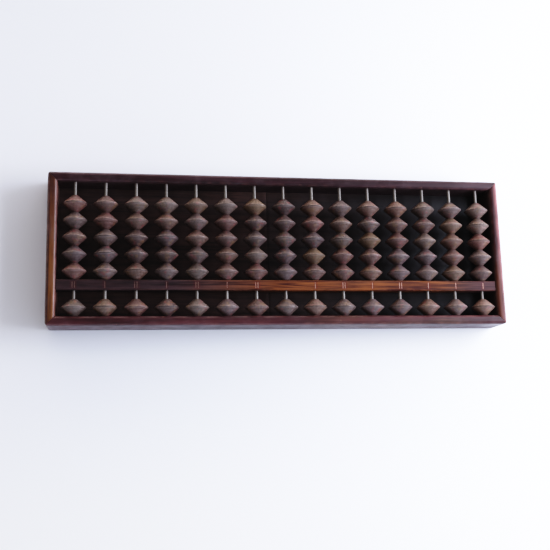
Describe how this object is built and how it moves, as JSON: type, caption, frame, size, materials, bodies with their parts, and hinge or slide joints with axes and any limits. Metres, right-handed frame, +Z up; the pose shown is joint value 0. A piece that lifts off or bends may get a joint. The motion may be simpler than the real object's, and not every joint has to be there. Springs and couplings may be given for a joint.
{
  "type": "abacus",
  "caption": "Rod abacus with double-cone wooden beads sliding on bamboo rods, split by a divider beam in a mitred dark hardwood frame with a closed back board.",
  "frame": {"origin": "centre of the underside of the frame", "axes": "+X along the length, columns 1 to 15 run from -X to +X; +Y across the frame from the one-bead deck to the five-bead deck; +Z up, away from the table"},
  "size_m": [0.35, 0.115, 0.0312],
  "materials": {
    "frame_wood": "oiled and handled dark red-brown hardwood, satin to glossy",
    "beam_wood": "oiled dark hardwood turning orange-brown where it is worn",
    "board_wood": "thin very dark stained board, dull, scratched",
    "bamboo": "split bamboo rod, silvery grey, smooth",
    "bead_wood": "turned hardwood, dusty brown grey, satin, each bead its own tone"
  },
  "bodies": {
    "frame": {"near_rail": "frame_wood", "far_rail": "frame_wood", "left_rail": "frame_wood", "right_rail": "frame_wood", "divider_beam": "beam_wood", "back_board_left": "board_wood", "back_board_right": "board_wood", "rods": "bamboo"},
    "upper_01": {"upper_bead_01": "bead_wood"},
    "inner_01": {"inner_beads_01": "bead_wood"},
    "outer_01": {"outer_beads_01": "bead_wood"},
    "upper_02": {"upper_bead_02": "bead_wood"},
    "inner_02": {"inner_beads_02": "bead_wood"},
    "outer_02": {"outer_beads_02": "bead_wood"},
    "upper_03": {"upper_bead_03": "bead_wood"},
    "inner_03": {"inner_beads_03": "bead_wood"},
    "outer_03": {"outer_beads_03": "bead_wood"},
    "upper_04": {"upper_bead_04": "bead_wood"},
    "inner_04": {"inner_beads_04": "bead_wood"},
    "outer_04": {"outer_beads_04": "bead_wood"},
    "upper_05": {"upper_bead_05": "bead_wood"},
    "inner_05": {"inner_beads_05": "bead_wood"},
    "outer_05": {"outer_beads_05": "bead_wood"},
    "upper_06": {"upper_bead_06": "bead_wood"},
    "inner_06": {"inner_beads_06": "bead_wood"},
    "outer_06": {"outer_beads_06": "bead_wood"},
    "upper_07": {"upper_bead_07": "bead_wood"},
    "inner_07": {"inner_beads_07": "bead_wood"},
    "outer_07": {"outer_beads_07": "bead_wood"},
    "upper_08": {"upper_bead_08": "bead_wood"},
    "inner_08": {"inner_beads_08": "bead_wood"},
    "outer_08": {"outer_beads_08": "bead_wood"},
    "upper_09": {"upper_bead_09": "bead_wood"},
    "inner_09": {"inner_beads_09": "bead_wood"},
    "outer_09": {"outer_beads_09": "bead_wood"},
    "upper_10": {"upper_bead_10": "bead_wood"},
    "inner_10": {"inner_beads_10": "bead_wood"},
    "outer_10": {"outer_beads_10": "bead_wood"},
    "upper_11": {"upper_bead_11": "bead_wood"},
    "inner_11": {"inner_beads_11": "bead_wood"},
    "outer_11": {"outer_beads_11": "bead_wood"},
    "upper_12": {"upper_bead_12": "bead_wood"},
    "inner_12": {"inner_beads_12": "bead_wood"},
    "outer_12": {"outer_beads_12": "bead_wood"},
    "upper_13": {"upper_bead_13": "bead_wood"},
    "inner_13": {"inner_beads_13": "bead_wood"},
    "outer_13": {"outer_beads_13": "bead_wood"},
    "upper_14": {"upper_bead_14": "bead_wood"},
    "inner_14": {"inner_beads_14": "bead_wood"},
    "outer_14": {"outer_beads_14": "bead_wood"},
    "upper_15": {"upper_bead_15": "bead_wood"},
    "inner_15": {"inner_beads_15": "bead_wood"},
    "outer_15": {"outer_beads_15": "bead_wood"}
  },
  "joints": [
    {"name": "upper_slide_01", "type": "slide", "parent": "frame", "child": "upper_01", "axis": [0, 1, 0], "range_m": [0, 0.0062]},
    {"name": "inner_slide_01", "type": "slide", "parent": "frame", "child": "inner_01", "axis": [0, 1, 0], "range_m": [0, 0.0101]},
    {"name": "outer_slide_01", "type": "slide", "parent": "inner_01", "child": "outer_01", "axis": [0, -1, 0], "range_m": [-0.0101, 0]},
    {"name": "upper_slide_02", "type": "slide", "parent": "frame", "child": "upper_02", "axis": [0, 1, 0], "range_m": [0, 0.0062]},
    {"name": "inner_slide_02", "type": "slide", "parent": "frame", "child": "inner_02", "axis": [0, 1, 0], "range_m": [0, 0.0101]},
    {"name": "outer_slide_02", "type": "slide", "parent": "inner_02", "child": "outer_02", "axis": [0, -1, 0], "range_m": [-0.0101, 0]},
    {"name": "upper_slide_03", "type": "slide", "parent": "frame", "child": "upper_03", "axis": [0, 1, 0], "range_m": [0, 0.0062]},
    {"name": "inner_slide_03", "type": "slide", "parent": "frame", "child": "inner_03", "axis": [0, 1, 0], "range_m": [0, 0.0101]},
    {"name": "outer_slide_03", "type": "slide", "parent": "inner_03", "child": "outer_03", "axis": [0, -1, 0], "range_m": [-0.0101, 0]},
    {"name": "upper_slide_04", "type": "slide", "parent": "frame", "child": "upper_04", "axis": [0, 1, 0], "range_m": [0, 0.0062]},
    {"name": "inner_slide_04", "type": "slide", "parent": "frame", "child": "inner_04", "axis": [0, 1, 0], "range_m": [0, 0.0101]},
    {"name": "outer_slide_04", "type": "slide", "parent": "inner_04", "child": "outer_04", "axis": [0, -1, 0], "range_m": [-0.0101, 0]},
    {"name": "upper_slide_05", "type": "slide", "parent": "frame", "child": "upper_05", "axis": [0, 1, 0], "range_m": [0, 0.0062]},
    {"name": "inner_slide_05", "type": "slide", "parent": "frame", "child": "inner_05", "axis": [0, 1, 0], "range_m": [0, 0.0101]},
    {"name": "outer_slide_05", "type": "slide", "parent": "inner_05", "child": "outer_05", "axis": [0, -1, 0], "range_m": [-0.0101, 0]},
    {"name": "upper_slide_06", "type": "slide", "parent": "frame", "child": "upper_06", "axis": [0, 1, 0], "range_m": [0, 0.0062]},
    {"name": "inner_slide_06", "type": "slide", "parent": "frame", "child": "inner_06", "axis": [0, 1, 0], "range_m": [0, 0.0101]},
    {"name": "outer_slide_06", "type": "slide", "parent": "inner_06", "child": "outer_06", "axis": [0, -1, 0], "range_m": [-0.0101, 0]},
    {"name": "upper_slide_07", "type": "slide", "parent": "frame", "child": "upper_07", "axis": [0, 1, 0], "range_m": [0, 0.0062]},
    {"name": "inner_slide_07", "type": "slide", "parent": "frame", "child": "inner_07", "axis": [0, 1, 0], "range_m": [0, 0.0101]},
    {"name": "outer_slide_07", "type": "slide", "parent": "inner_07", "child": "outer_07", "axis": [0, -1, 0], "range_m": [-0.0101, 0]},
    {"name": "upper_slide_08", "type": "slide", "parent": "frame", "child": "upper_08", "axis": [0, 1, 0], "range_m": [0, 0.0062]},
    {"name": "inner_slide_08", "type": "slide", "parent": "frame", "child": "inner_08", "axis": [0, 1, 0], "range_m": [0, 0.0101]},
    {"name": "outer_slide_08", "type": "slide", "parent": "inner_08", "child": "outer_08", "axis": [0, -1, 0], "range_m": [-0.0101, 0]},
    {"name": "upper_slide_09", "type": "slide", "parent": "frame", "child": "upper_09", "axis": [0, 1, 0], "range_m": [0, 0.0062]},
    {"name": "inner_slide_09", "type": "slide", "parent": "frame", "child": "inner_09", "axis": [0, 1, 0], "range_m": [0, 0.0101]},
    {"name": "outer_slide_09", "type": "slide", "parent": "inner_09", "child": "outer_09", "axis": [0, -1, 0], "range_m": [-0.0101, 0]},
    {"name": "upper_slide_10", "type": "slide", "parent": "frame", "child": "upper_10", "axis": [0, 1, 0], "range_m": [0, 0.0062]},
    {"name": "inner_slide_10", "type": "slide", "parent": "frame", "child": "inner_10", "axis": [0, 1, 0], "range_m": [0, 0.0101]},
    {"name": "outer_slide_10", "type": "slide", "parent": "inner_10", "child": "outer_10", "axis": [0, -1, 0], "range_m": [-0.0101, 0]},
    {"name": "upper_slide_11", "type": "slide", "parent": "frame", "child": "upper_11", "axis": [0, 1, 0], "range_m": [0, 0.0062]},
    {"name": "inner_slide_11", "type": "slide", "parent": "frame", "child": "inner_11", "axis": [0, 1, 0], "range_m": [0, 0.0101]},
    {"name": "outer_slide_11", "type": "slide", "parent": "inner_11", "child": "outer_11", "axis": [0, -1, 0], "range_m": [-0.0101, 0]},
    {"name": "upper_slide_12", "type": "slide", "parent": "frame", "child": "upper_12", "axis": [0, 1, 0], "range_m": [0, 0.0062]},
    {"name": "inner_slide_12", "type": "slide", "parent": "frame", "child": "inner_12", "axis": [0, 1, 0], "range_m": [0, 0.0101]},
    {"name": "outer_slide_12", "type": "slide", "parent": "inner_12", "child": "outer_12", "axis": [0, -1, 0], "range_m": [-0.0101, 0]},
    {"name": "upper_slide_13", "type": "slide", "parent": "frame", "child": "upper_13", "axis": [0, 1, 0], "range_m": [0, 0.0062]},
    {"name": "inner_slide_13", "type": "slide", "parent": "frame", "child": "inner_13", "axis": [0, 1, 0], "range_m": [0, 0.0101]},
    {"name": "outer_slide_13", "type": "slide", "parent": "inner_13", "child": "outer_13", "axis": [0, -1, 0], "range_m": [-0.0101, 0]},
    {"name": "upper_slide_14", "type": "slide", "parent": "frame", "child": "upper_14", "axis": [0, 1, 0], "range_m": [0, 0.0062]},
    {"name": "inner_slide_14", "type": "slide", "parent": "frame", "child": "inner_14", "axis": [0, 1, 0], "range_m": [0, 0.0101]},
    {"name": "outer_slide_14", "type": "slide", "parent": "inner_14", "child": "outer_14", "axis": [0, -1, 0], "range_m": [-0.0101, 0]},
    {"name": "upper_slide_15", "type": "slide", "parent": "frame", "child": "upper_15", "axis": [0, 1, 0], "range_m": [0, 0.0062]},
    {"name": "inner_slide_15", "type": "slide", "parent": "frame", "child": "inner_15", "axis": [0, 1, 0], "range_m": [0, 0.0101]},
    {"name": "outer_slide_15", "type": "slide", "parent": "inner_15", "child": "outer_15", "axis": [0, -1, 0], "range_m": [-0.0101, 0]}
  ]
}
